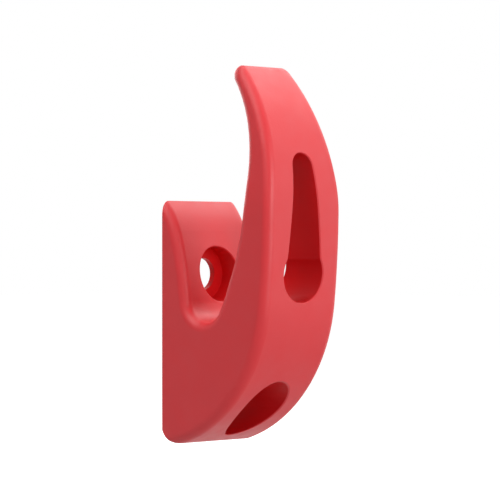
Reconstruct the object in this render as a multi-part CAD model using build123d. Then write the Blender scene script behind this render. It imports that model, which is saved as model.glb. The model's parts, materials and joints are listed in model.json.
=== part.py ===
from build123d import *
from math import asin, atan2, cos, degrees, hypot, radians, sin, sqrt, tan
import os

# One-piece moulded claw hook that screws to a flat post.
# Millimetres, +Z up, mounting face on Y = 0, hook reaching out along -Y.
# The origin lies on the mounting face, midway between the two screw axes.
# In the side view, "out" is the distance from the mounting face.

# Overall body
body_width = 20.8
edge_radius = 1.8
heel_radius = 4.0
back_bevel = 0.3
rim_bevel = 0.2

# Outer side curve: belly, face and brow are three arcs that run into each other
face_out = 28.4
face_height = 27.1
face_radius = 184.0
belly_radius = 31.55
belly_angle = 6.18
brow_radius = 38.8
brow_angle = -0.5

# Claw tip
tip_height = 52.65
tip_radius = 1.7

# Inner side of the arm, upright at this point
throat_out = 21.5
throat_height = 32.8
throat_radius = 57.3

# Lowest point of the valley that carries the bag strap
valley_height = 3.7

# Back plate, swelling towards the valley and rolled over at its top
plate_height = 27.3
plate_at_top = 1.4
plate_at_screw = 5.85
plate_radius = 60.0
plate_roll = 15.0

# Arm narrowing towards the tip, seen from the front
taper_height = 27.0
taper_angle = 7.6
taper_blend = 40.0

# Screws, with recesses for their heads
screw_spacing = 25.8
screw_hole = 6.2
recess_diameter = 10.7
recess_floor = 1.2

# Keyhole slot in the arm, whose round end lets the upper screw's head pass
head_clearance = 0.03
slot_top = 35.9
slot_top_width = 5.5
slot_inset = 0.55
slot_shoulder = 1.5

side_view = Plane(origin=(0, 0, 0), x_dir=(0, -1, 0), z_dir=(-1, 0, 0))
front_view = Plane(origin=(0, 0, 0), x_dir=(1, 0, 0), z_dir=(0, -1, 0))
far = 2 * tip_height
tiny = 0.01
upper_screw = screw_spacing / 2
lower_screw = -screw_spacing / 2
keyhole_radius = recess_diameter / 2 + head_clearance


def step(start, distance, angle):
    """Point at a distance and an angle in degrees from another point."""
    return (start[0] + distance * cos(radians(angle)), start[1] + distance * sin(radians(angle)))


def towards(start, end, distance):
    """Point at a distance from start on the line to end."""
    length = hypot(end[0] - start[0], end[1] - start[1])
    share = distance / length
    return (start[0] + share * (end[0] - start[0]), start[1] + share * (end[1] - start[1]))


def crossing(centre_a, radius_a, centre_b, radius_b):
    """Where two circles cross, on the right going from the first centre to the second."""
    gap = hypot(centre_b[0] - centre_a[0], centre_b[1] - centre_a[1])
    along = (radius_a**2 - radius_b**2 + gap**2) / (2 * gap)
    across = sqrt(radius_a**2 - along**2)
    foot = towards(centre_a, centre_b, along)
    right = ((centre_b[1] - centre_a[1]) / gap, -(centre_b[0] - centre_a[0]) / gap)
    return (foot[0] + across * right[0], foot[1] + across * right[1])


def cradle(bottom, outer, outer_radius, inner, inner_radius):
    """Circle with its lowest point at a height, touching one circle from inside and another from outside."""
    outer_room = outer_radius**2 - (bottom - outer[1]) ** 2
    inner_room = inner_radius**2 - (bottom - inner[1]) ** 2
    outer_rate = 2 * (outer_radius + bottom - outer[1])
    inner_rate = 2 * (inner_radius - bottom + inner[1])
    share = inner_rate / outer_rate
    middle = (inner[0] + share * outer[0]) / (1 + share)
    room = (inner_room + share * outer_room) / (1 + share)
    offset = sqrt(share) * (inner[0] - outer[0]) / (1 + share)
    reach = middle + sqrt(room - offset**2)
    radius = (outer_room - (reach - outer[0]) ** 2) / outer_rate
    return (reach, bottom + radius), radius


def arc(centre, start, end, clockwise=False):
    """Arc about a centre from one point to another."""
    first = degrees(atan2(start[1] - centre[1], start[0] - centre[0]))
    last = degrees(atan2(end[1] - centre[1], end[0] - centre[0]))
    sweep = (last - first) % 360
    if clockwise:
        sweep = sweep - 360
    return CenterArc(centre, hypot(start[0] - centre[0], start[1] - centre[1]), first, sweep)


def in_throat(edge):
    """Whether an edge lies on the inner side of the arm, above the valley."""
    middle = edge.center()
    return middle.Z > valley_height and valley_centre[0] < -middle.Y < throat_out + tiny


# Centres of the side-view arcs, each placed so that neighbours run into each other
face_centre = (face_out - face_radius, face_height)
belly_centre = step(face_centre, face_radius - belly_radius, -belly_angle)
brow_centre = step(face_centre, face_radius - brow_radius, brow_angle)
tip_rise = tip_height - tip_radius - brow_centre[1]
tip_reach = sqrt((brow_radius - tip_radius) ** 2 - tip_rise**2)
tip_centre = (brow_centre[0] + tip_reach, brow_centre[1] + tip_rise)
lean_out = throat_out - tip_centre[0]
lean_up = tip_centre[1] - throat_height
hook_radius = (lean_out**2 + lean_up**2 - tip_radius**2) / (2 * (lean_out + tip_radius))
hook_centre = (throat_out - hook_radius, throat_height)
throat_centre = (throat_out - throat_radius, throat_height)
plate_top = (plate_at_top, plate_height)
plate_centre = crossing(plate_top, plate_radius, (plate_at_screw, upper_screw), plate_radius)
roll_end = (0, plate_height)
roll_centre = crossing(plate_centre, plate_radius - plate_roll, roll_end, plate_roll)
valley_centre, valley_radius = cradle(valley_height, throat_centre, throat_radius, plate_centre, plate_radius)

# Points where one arc hands over to the next
belly_end = step(belly_centre, belly_radius, -belly_angle)
face_end = step(face_centre, face_radius, brow_angle)
brow_end = towards(brow_centre, tip_centre, brow_radius)
tip_end = towards(tip_centre, hook_centre, tip_radius)
throat_point = (throat_out, throat_height)
throat_end = towards(throat_centre, valley_centre, throat_radius)
valley_end = towards(valley_centre, plate_centre, valley_radius)
plate_end = towards(plate_centre, roll_centre, plate_radius)
heel = (0, belly_centre[1] - sqrt(belly_radius**2 - belly_centre[0] ** 2))

with BuildPart() as hook:
    # Side view drawn once and made as wide as the body
    with BuildSketch(side_view.offset(-body_width / 2)):
        with BuildLine():
            add(arc(belly_centre, heel, belly_end))
            add(arc(face_centre, belly_end, face_end))
            add(arc(brow_centre, face_end, brow_end))
            add(arc(tip_centre, brow_end, tip_end))
            add(arc(hook_centre, tip_end, throat_point, clockwise=True))
            add(arc(throat_centre, throat_point, throat_end, clockwise=True))
            add(arc(valley_centre, throat_end, valley_end, clockwise=True))
            add(arc(plate_centre, valley_end, plate_end))
            add(arc(roll_centre, plate_end, roll_end))
            Line(roll_end, heel)
        make_face()
    extrude(amount=body_width)

    # Both flanks of the arm lean in towards the tip
    bend_start = (body_width / 2, taper_height - taper_blend * tan(radians(taper_angle / 2)))
    bend_centre = (bend_start[0] - taper_blend, bend_start[1])
    bend_end = step(bend_centre, taper_blend, taper_angle)
    lean = (far - bend_end[1]) * tan(radians(taper_angle))
    with BuildSketch(front_view.offset(valley_centre[0])):
        with BuildLine():
            add(arc(bend_centre, bend_start, bend_end))
            Polyline(bend_end, (bend_end[0] - lean, far), (far, far), (far, bend_start[1]), bend_start)
        make_face()
        mirror(about=Plane.YZ)
    extrude(amount=far, mode=Mode.SUBTRACT)

    # Soft edges all round both flanks, from heel to plate top
    rim = [
        edge
        for edge in hook.edges()
        if edge.bounding_box().size.Z > tiny and edge.bounding_box().min.Y < -tiny
    ]
    fillet(rim, radius=edge_radius)
    back = hook.faces().sort_by(Axis.Y)[-1]
    chamfer(back.edges(), length=back_bevel)

    # Heel rounded where the belly meets the mounting face
    heel_drop = sqrt((belly_radius - heel_radius) ** 2 - (heel_radius - belly_centre[0]) ** 2)
    heel_centre = (heel_radius, belly_centre[1] - heel_drop)
    heel_back = (0, heel_centre[1])
    heel_front = towards(belly_centre, heel_centre, belly_radius)
    with BuildSketch(side_view):
        with BuildLine():
            add(arc(heel_centre, heel_back, heel_front))
            Polyline(heel_front, (heel_front[0], -far), (-far, -far), (-far, heel_back[1]), heel_back)
        make_face()
    extrude(amount=body_width, both=True, mode=Mode.SUBTRACT)

    # Two screw holes, with recesses for the heads bored in from the front
    with BuildSketch(front_view):
        with Locations((0, upper_screw), (0, lower_screw)):
            Circle(screw_hole / 2)
    extrude(amount=far, mode=Mode.SUBTRACT)
    with BuildSketch(front_view.offset(recess_floor)):
        with Locations((0, upper_screw), (0, lower_screw)):
            Circle(recess_diameter / 2)
    extrude(amount=far, mode=Mode.SUBTRACT)

    # Keyhole slot through the arm, its sides tangent to its round top
    slot_end = slot_top - slot_top_width / 2
    slot_foot = keyhole_radius - slot_inset
    slot_length = slot_end - upper_screw
    slot_tilt = atan2(slot_foot, slot_length)
    slot_spread = asin(slot_top_width / 2 / hypot(slot_foot, slot_length))
    slot_side = step((0, slot_end), slot_top_width / 2, degrees(slot_tilt - slot_spread))
    with BuildSketch(front_view.offset(valley_centre[0])) as keyhole:
        with Locations((0, upper_screw)):
            Circle(keyhole_radius)
        with Locations((0, slot_end)):
            Circle(slot_top_width / 2)
        Polygon(
            (-slot_side[0], slot_side[1]),
            (-slot_foot, upper_screw),
            (slot_foot, upper_screw),
            slot_side,
            align=None,
        )
        bulb_top = upper_screw + keyhole_radius
        shoulders = keyhole.vertices().filter_by_position(Axis.Y, upper_screw + tiny, bulb_top)
        fillet(shoulders, radius=slot_shoulder)
    extrude(amount=far, mode=Mode.SUBTRACT)

    # Rims of the recesses and of the slot bevelled where they face out, but not the screw holes
    reach = keyhole_radius + rim_bevel
    rims = [
        edge
        for edge in hook.edges()
        if edge.bounding_box().max.X < reach
        and edge.bounding_box().min.X > -reach
        and edge.bounding_box().max.Y < -recess_floor - tiny
        and edge.bounding_box().size.Z > tiny
        and edge.bounding_box().max.Z < slot_top + rim_bevel
        and not in_throat(edge)
    ]
    chamfer(rims, length=rim_bevel)

os.makedirs("parts", exist_ok=True)
export_step(hook.part, "parts/bag_hook.step")
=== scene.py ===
import json
import math

import bmesh
import bpy
from mathutils import Color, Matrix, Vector


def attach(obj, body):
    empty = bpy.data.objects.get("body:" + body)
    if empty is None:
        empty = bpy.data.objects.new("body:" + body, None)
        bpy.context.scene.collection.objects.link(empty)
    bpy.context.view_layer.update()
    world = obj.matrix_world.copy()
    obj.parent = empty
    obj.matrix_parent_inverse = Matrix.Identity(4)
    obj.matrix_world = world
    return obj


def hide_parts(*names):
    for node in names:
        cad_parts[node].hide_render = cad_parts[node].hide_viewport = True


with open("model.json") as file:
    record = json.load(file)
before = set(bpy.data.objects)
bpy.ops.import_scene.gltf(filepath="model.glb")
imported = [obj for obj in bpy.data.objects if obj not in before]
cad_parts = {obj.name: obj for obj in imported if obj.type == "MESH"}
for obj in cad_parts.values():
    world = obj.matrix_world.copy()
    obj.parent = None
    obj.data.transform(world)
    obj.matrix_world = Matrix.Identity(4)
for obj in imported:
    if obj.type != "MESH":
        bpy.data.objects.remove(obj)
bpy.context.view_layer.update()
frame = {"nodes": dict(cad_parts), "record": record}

# One-piece moulded hook of red plastic that screws to a flat post.
# Metres, +Z up, mounting face on Y = 0, hook reaching out along -Y.
MILLIMETRE = 0.001
WHITE = (1.0, 1.0, 1.0, 1.0)

# Level camera to the left of the hook's front, in metres, degrees and pixels
CAMERA_TURN = 46.5
CAMERA_DISTANCE = 0.5098
CAMERA_HEIGHT = 0.01755
CAMERA_AIM_SHIFT = 0.01003
IMAGE_PIXELS = 500
FOCAL_PIXELS = 2600.0
SENSOR_WIDTH = 36.0

# Floor below the hook: grey where the hook's shadow falls, with a glow that makes it plain white further off
FLOOR_HEIGHT = -0.06
FLOOR_HALF_SIZE = 3.0
FLOOR_CORNERS = [(-1, -1), (1, -1), (1, 1), (-1, 1)]
FLOOR_LIT_GREY = 0.45
FLOOR_SEEN_GREY = 0.62
GLOW_START = 0.12
GLOW_END = 0.45
GLOW_NEAR = 0.3
GLOW_FAR = 1.0

# Soft light from all round, and square lamps aimed at the hook's middle: name, place, side and power in watts
WORLD_LIGHT = 0.03
LAMP_TARGET = (0.0, -0.015, 0.016)
LAMPS = [
    ("key", (0.50, -0.50, 0.12), 0.5, 0.9),
    ("front", (0.0, -0.70, 0.16), 0.4, 2.7),
    ("camera_side", (-0.48, -0.40, 0.20), 0.3, 0.3),
    ("left_near", (-0.16, -0.02, 0.26), 0.2, 0.24),
    ("left_top", (-0.45, 0.0, 0.50), 0.5, 1.1),
    ("top", (0.0, 0.0, 0.70), 0.6, 1.7),
    ("top_right", (0.50, -0.15, 0.48), 0.5, 0.9),
    ("right_top", (0.45, 0.05, 0.45), 0.4, 0.9),
    ("back", (0.20, 0.60, 0.15), 0.5, 1.5),
]

# Holes, whose walls and recess floors take painted shade: farthest that a wall lies from its axis, depth that
# holds the recess floors, and the slot's place
HOLE_REACH = 0.0056
RECESS_FLOOR = 0.0013
SLOT_TOP = 0.0361
ARM_INSIDE = 0.014

# Most that a hole's wall leans off its axis, and the gap across a seam between the solid's faces
WALL_LEAN = 0.05
SEAM_GAP = 1e-7

# Order of the hook's materials: satin, then the holes' red with painted shade
SATIN_INDEX = 0
HOLE_SHADE_INDEX = 1

# Moulded surface that both finishes share
SURFACE_INPUTS = [
    ("Deep Colour", "NodeSocketColor"),
    ("Pale Colour", "NodeSocketColor"),
    ("Cloud Scale", "NodeSocketFloat"),
    ("Smoothest", "NodeSocketFloat"),
    ("Roughest", "NodeSocketFloat"),
    ("Sheen Scale", "NodeSocketFloat"),
    ("Grain Scale", "NodeSocketFloat"),
    ("Stretch", "NodeSocketVector"),
]
SURFACE_OUTPUTS = [
    ("Colour", "NodeSocketColor"),
    ("Roughness", "NodeSocketFloat"),
    ("Normal", "NodeSocketVector"),
]
CLOUD_DETAIL = 3.0
SHEEN_DETAIL = 2.0
SHEEN_LOW = 0.3
SHEEN_HIGH = 0.7
GRAIN_DETAIL = 2.0
GRAIN_DEPTH = 0.00003
GRAIN_STRENGTH = 0.5
SATIN_SPECULAR = 0.5
# The holes reflect less, which is painted shade that darkens them
HOLE_SHADE_SPECULAR = 0.15


def linear(colour):
    """sRGB colour as the linear colour that shaders take, with full alpha."""
    return (*Color(colour).from_srgb_to_scene_linear(), 1.0)


# Satin outside. In the holes a deeper red that reflects less, which is painted shade, with the grain drawn
# out along Y like the marks of the mould's core pins
SATIN_FINISH = {
    "Deep Colour": linear((0.83, 0.165, 0.19)),
    "Pale Colour": linear((0.85, 0.175, 0.20)),
    "Cloud Scale": 90.0,
    "Smoothest": 0.40,
    "Roughest": 0.48,
    "Sheen Scale": 350.0,
    "Grain Scale": 2600.0,
    "Stretch": (1.0, 1.0, 1.0),
}
HOLE_FINISH_AND_SHADE = {
    "Deep Colour": linear((0.84, 0.10, 0.10)),
    "Pale Colour": linear((0.83, 0.105, 0.135)),
    "Cloud Scale": 90.0,
    "Smoothest": 0.38,
    "Roughest": 0.48,
    "Sheen Scale": 1800.0,
    "Grain Scale": 1800.0,
    "Stretch": (1.0, 0.04, 1.0),
}


def empty_tree(owner):
    """Node tree of a material or a world, with nothing in it yet."""
    owner.use_nodes = True
    owner.node_tree.nodes.clear()
    return owner.node_tree


def noise(tree, place, scale, detail):
    """Noise at a place on the piece, in features per metre."""
    texture = tree.nodes.new("ShaderNodeTexNoise")
    texture.inputs["Detail"].default_value = detail
    tree.links.new(place, texture.inputs["Vector"])
    tree.links.new(scale, texture.inputs["Scale"])
    return texture.outputs["Fac"]


def cloudy_colour(group, given, place):
    """Colour that drifts between the finish's deep and pale colours."""
    tint = group.nodes.new("ShaderNodeMix")
    tint.data_type = "RGBA"
    clouds = noise(group, place, given["Cloud Scale"], CLOUD_DETAIL)
    group.links.new(clouds, tint.inputs["Factor"])
    group.links.new(given["Deep Colour"], tint.inputs["A"])
    group.links.new(given["Pale Colour"], tint.inputs["B"])
    return tint.outputs["Result"]


def uneven_sheen(group, given, place):
    """Roughness that varies between the finish's smoothest and roughest over the middle of a noise."""
    spread = group.nodes.new("ShaderNodeMapRange")
    spread.inputs["From Min"].default_value = SHEEN_LOW
    spread.inputs["From Max"].default_value = SHEEN_HIGH
    sheen = noise(group, place, given["Sheen Scale"], SHEEN_DETAIL)
    group.links.new(sheen, spread.inputs["Value"])
    group.links.new(given["Smoothest"], spread.inputs["To Min"])
    group.links.new(given["Roughest"], spread.inputs["To Max"])
    return spread.outputs["Result"]


def fine_grain(group, given, place):
    """Normal of a surface with a shallow grain."""
    relief = group.nodes.new("ShaderNodeBump")
    relief.inputs["Distance"].default_value = GRAIN_DEPTH
    relief.inputs["Strength"].default_value = GRAIN_STRENGTH
    grain = noise(group, place, given["Grain Scale"], GRAIN_DETAIL)
    group.links.new(grain, relief.inputs["Height"])
    return relief.outputs["Normal"]


def moulded_surface():
    """Node group with what the finishes share: faint clouds of colour, uneven sheen and a fine grain."""
    group = bpy.data.node_groups.new("moulded_surface", "ShaderNodeTree")
    for name, kind in SURFACE_INPUTS:
        group.interface.new_socket(name, in_out="INPUT", socket_type=kind)
    for name, kind in SURFACE_OUTPUTS:
        group.interface.new_socket(name, in_out="OUTPUT", socket_type=kind)
    given = group.nodes.new("NodeGroupInput").outputs
    result = group.nodes.new("NodeGroupOutput").inputs

    # Sheen and grain follow the finish's stretch, and the clouds don't
    place = group.nodes.new("ShaderNodeTexCoord").outputs["Object"]
    stretched = group.nodes.new("ShaderNodeVectorMath")
    stretched.operation = "MULTIPLY"
    group.links.new(place, stretched.inputs[0])
    group.links.new(given["Stretch"], stretched.inputs[1])
    drawn = stretched.outputs["Vector"]

    group.links.new(cloudy_colour(group, given, place), result["Colour"])
    group.links.new(uneven_sheen(group, given, drawn), result["Roughness"])
    group.links.new(fine_grain(group, given, drawn), result["Normal"])
    return group


def plastic_material(name, surface_group, finish, specular):
    """Red plastic in one finish of the moulded surface, which for the holes includes painted shade."""
    material = bpy.data.materials.new(name)
    tree = empty_tree(material)
    output = tree.nodes.new("ShaderNodeOutputMaterial")
    shader = tree.nodes.new("ShaderNodeBsdfPrincipled")
    shader.inputs["Specular IOR Level"].default_value = specular
    surface = tree.nodes.new("ShaderNodeGroup")
    surface.node_tree = surface_group
    for socket, value in finish.items():
        surface.inputs[socket].default_value = value
    tree.links.new(surface.outputs["Colour"], shader.inputs["Base Color"])
    tree.links.new(surface.outputs["Roughness"], shader.inputs["Roughness"])
    tree.links.new(surface.outputs["Normal"], shader.inputs["Normal"])
    tree.links.new(shader.outputs["BSDF"], output.inputs["Surface"])
    return material


def in_hole(face, screw_height):
    """Whether a face is a wall of a screw hole, recess or slot, or the floor of a recess, which take painted
    shade.
    """
    middle = face.calc_center_median()
    out = -middle.y
    wall = abs(face.normal.y) < WALL_LEAN
    floor = face.normal.y < WALL_LEAN - 1 and out < RECESS_FLOOR
    from_axis = min(math.hypot(middle.x, middle.z - height) for height in (screw_height, -screw_height))
    by_screw = from_axis < HOLE_REACH
    in_slot = abs(middle.x) < HOLE_REACH and screw_height < middle.z < SLOT_TOP and out > ARM_INSIDE
    return (by_screw and (wall or floor)) or (in_slot and wall)


def merge_seams(mesh, screw_height):
    """Join the solid's faces along their seams, keep their shading and give the holes their material with
    painted shade.
    """
    shading = mesh.attributes.new("shading", "FLOAT_VECTOR", "CORNER")
    for corner, normal in zip(shading.data, mesh.corner_normals):
        corner.vector = normal.vector
    merged = bmesh.new()
    merged.from_mesh(mesh)
    bmesh.ops.remove_doubles(merged, verts=merged.verts, dist=SEAM_GAP)
    merged.normal_update()
    # Faces in the holes take the material with painted shade
    for face in merged.faces:
        face.material_index = HOLE_SHADE_INDEX if in_hole(face, screw_height) else SATIN_INDEX
    merged.to_mesh(mesh)
    merged.free()
    mesh.normals_split_custom_set([corner.vector for corner in mesh.attributes["shading"].data])
    mesh.attributes.remove(mesh.attributes["shading"])


def moulded_hook(node, screw_height):
    """The hook: its own solid in red satin plastic, with painted shade in the holes as a deeper, less
    reflective red.
    """
    mesh = node.data.copy()
    mesh.name = "moulded_hook"
    mesh.materials.clear()
    surface_group = moulded_surface()
    mesh.materials.append(plastic_material("red_satin_plastic", surface_group, SATIN_FINISH, SATIN_SPECULAR))
    # The holes' material darkens them with painted shade
    mesh.materials.append(plastic_material("red_hole_plastic_painted_shade", surface_group, HOLE_FINISH_AND_SHADE, HOLE_SHADE_SPECULAR))
    merge_seams(mesh, screw_height)
    hook = bpy.data.objects.new("moulded_hook", mesh)
    bpy.context.scene.collection.objects.link(hook)
    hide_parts("bag_hook")
    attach(hook, "root")


def backdrop_rays(tree):
    """1 for the rays that show the backdrop: straight to the camera, reflected or through glass."""
    path = tree.nodes.new("ShaderNodeLightPath")
    reflected = tree.nodes.new("ShaderNodeMath")
    reflected.operation = "MAXIMUM"
    tree.links.new(path.outputs["Is Camera Ray"], reflected.inputs[0])
    tree.links.new(path.outputs["Is Glossy Ray"], reflected.inputs[1])
    through = tree.nodes.new("ShaderNodeMath")
    through.operation = "MAXIMUM"
    tree.links.new(reflected.outputs["Value"], through.inputs[0])
    tree.links.new(path.outputs["Is Transmission Ray"], through.inputs[1])
    return through.outputs["Value"]


def lit_and_seen(tree, lit, seen):
    """Shader that lights the hook in one way and is seen as the backdrop in another."""
    mix = tree.nodes.new("ShaderNodeMixShader")
    tree.links.new(backdrop_rays(tree), mix.inputs["Fac"])
    tree.links.new(lit, mix.inputs[1])
    tree.links.new(seen, mix.inputs[2])
    return mix.outputs["Shader"]


def light_world():
    """Pale soft light from all round, seen as plain white."""
    world = bpy.data.worlds.new("studio_white")
    tree = empty_tree(world)
    output = tree.nodes.new("ShaderNodeOutputWorld")
    lit = tree.nodes.new("ShaderNodeBackground")
    lit.inputs["Color"].default_value = WHITE
    lit.inputs["Strength"].default_value = WORLD_LIGHT
    seen = tree.nodes.new("ShaderNodeBackground")
    seen.inputs["Color"].default_value = WHITE
    both = lit_and_seen(tree, lit.outputs["Background"], seen.outputs["Background"])
    tree.links.new(both, output.inputs["Surface"])
    bpy.context.scene.world = world


def grey_paper(tree, grey):
    """Matt grey paper."""
    paper = tree.nodes.new("ShaderNodeBsdfDiffuse")
    paper.inputs["Color"].default_value = (grey, grey, grey, 1.0)
    return paper.outputs["BSDF"]


def far_glow(tree):
    """White glow that grows with the distance from the hook."""
    place = tree.nodes.new("ShaderNodeTexCoord")
    distance = tree.nodes.new("ShaderNodeVectorMath")
    distance.operation = "LENGTH"
    tree.links.new(place.outputs["Object"], distance.inputs[0])
    fade = tree.nodes.new("ShaderNodeMapRange")
    fade.inputs["From Min"].default_value = GLOW_START
    fade.inputs["From Max"].default_value = GLOW_END
    fade.inputs["To Min"].default_value = GLOW_NEAR
    fade.inputs["To Max"].default_value = GLOW_FAR
    tree.links.new(distance.outputs["Value"], fade.inputs["Value"])
    glow = tree.nodes.new("ShaderNodeEmission")
    tree.links.new(fade.outputs["Result"], glow.inputs["Strength"])
    return glow.outputs["Emission"]


def floor_material():
    """White floor that keeps the hook's shadow."""
    material = bpy.data.materials.new("floor_white")
    tree = empty_tree(material)
    output = tree.nodes.new("ShaderNodeOutputMaterial")
    seen = tree.nodes.new("ShaderNodeAddShader")
    tree.links.new(far_glow(tree), seen.inputs[0])
    tree.links.new(grey_paper(tree, FLOOR_SEEN_GREY), seen.inputs[1])
    both = lit_and_seen(tree, grey_paper(tree, FLOOR_LIT_GREY), seen.outputs["Shader"])
    tree.links.new(both, output.inputs["Surface"])
    return material


def add_floor():
    """Plain floor below the hook."""
    mesh = bpy.data.meshes.new("floor")
    corners = [(x * FLOOR_HALF_SIZE, y * FLOOR_HALF_SIZE, FLOOR_HEIGHT) for x, y in FLOOR_CORNERS]
    mesh.from_pydata(corners, [], [range(len(corners))])
    mesh.materials.append(floor_material())
    floor = bpy.data.objects.new("floor", mesh)
    bpy.context.scene.collection.objects.link(floor)


def add_lamp(name, place, side, power):
    """Soft square lamp that faces the hook."""
    data = bpy.data.lights.new(name, "AREA")
    data.shape = "SQUARE"
    data.size = side
    data.energy = power
    lamp = bpy.data.objects.new(name, data)
    lamp.location = place
    lamp.rotation_euler = (Vector(LAMP_TARGET) - Vector(place)).to_track_quat("-Z", "Y").to_euler()
    bpy.context.scene.collection.objects.link(lamp)


def add_camera():
    """Level camera to the left of the hook's front."""
    turn = math.radians(CAMERA_TURN)
    ahead = Vector((math.sin(turn), math.cos(turn), 0))
    right = Vector((math.cos(turn), -math.sin(turn), 0))
    data = bpy.data.cameras.new("camera")
    data.sensor_width = SENSOR_WIDTH
    data.lens = FOCAL_PIXELS / IMAGE_PIXELS * SENSOR_WIDTH
    camera = bpy.data.objects.new("camera", data)
    camera.location = right * CAMERA_AIM_SHIFT - ahead * CAMERA_DISTANCE + Vector((0, 0, CAMERA_HEIGHT))
    camera.rotation_euler = ahead.to_track_quat("-Z", "Y").to_euler()
    bpy.context.scene.collection.objects.link(camera)
    bpy.context.scene.camera = camera


screws = next(mount for mount in frame["record"]["mounts"] if mount["name"] == "screws")
screw_height = screws["dims"]["spacing_y_mm"] * MILLIMETRE / 2
moulded_hook(frame["nodes"]["bag_hook"], screw_height)
light_world()
add_floor()
add_camera()
for name, place, side, power in LAMPS:
    add_lamp(name, place, side, power)
bpy.context.scene.view_settings.view_transform = "Standard"
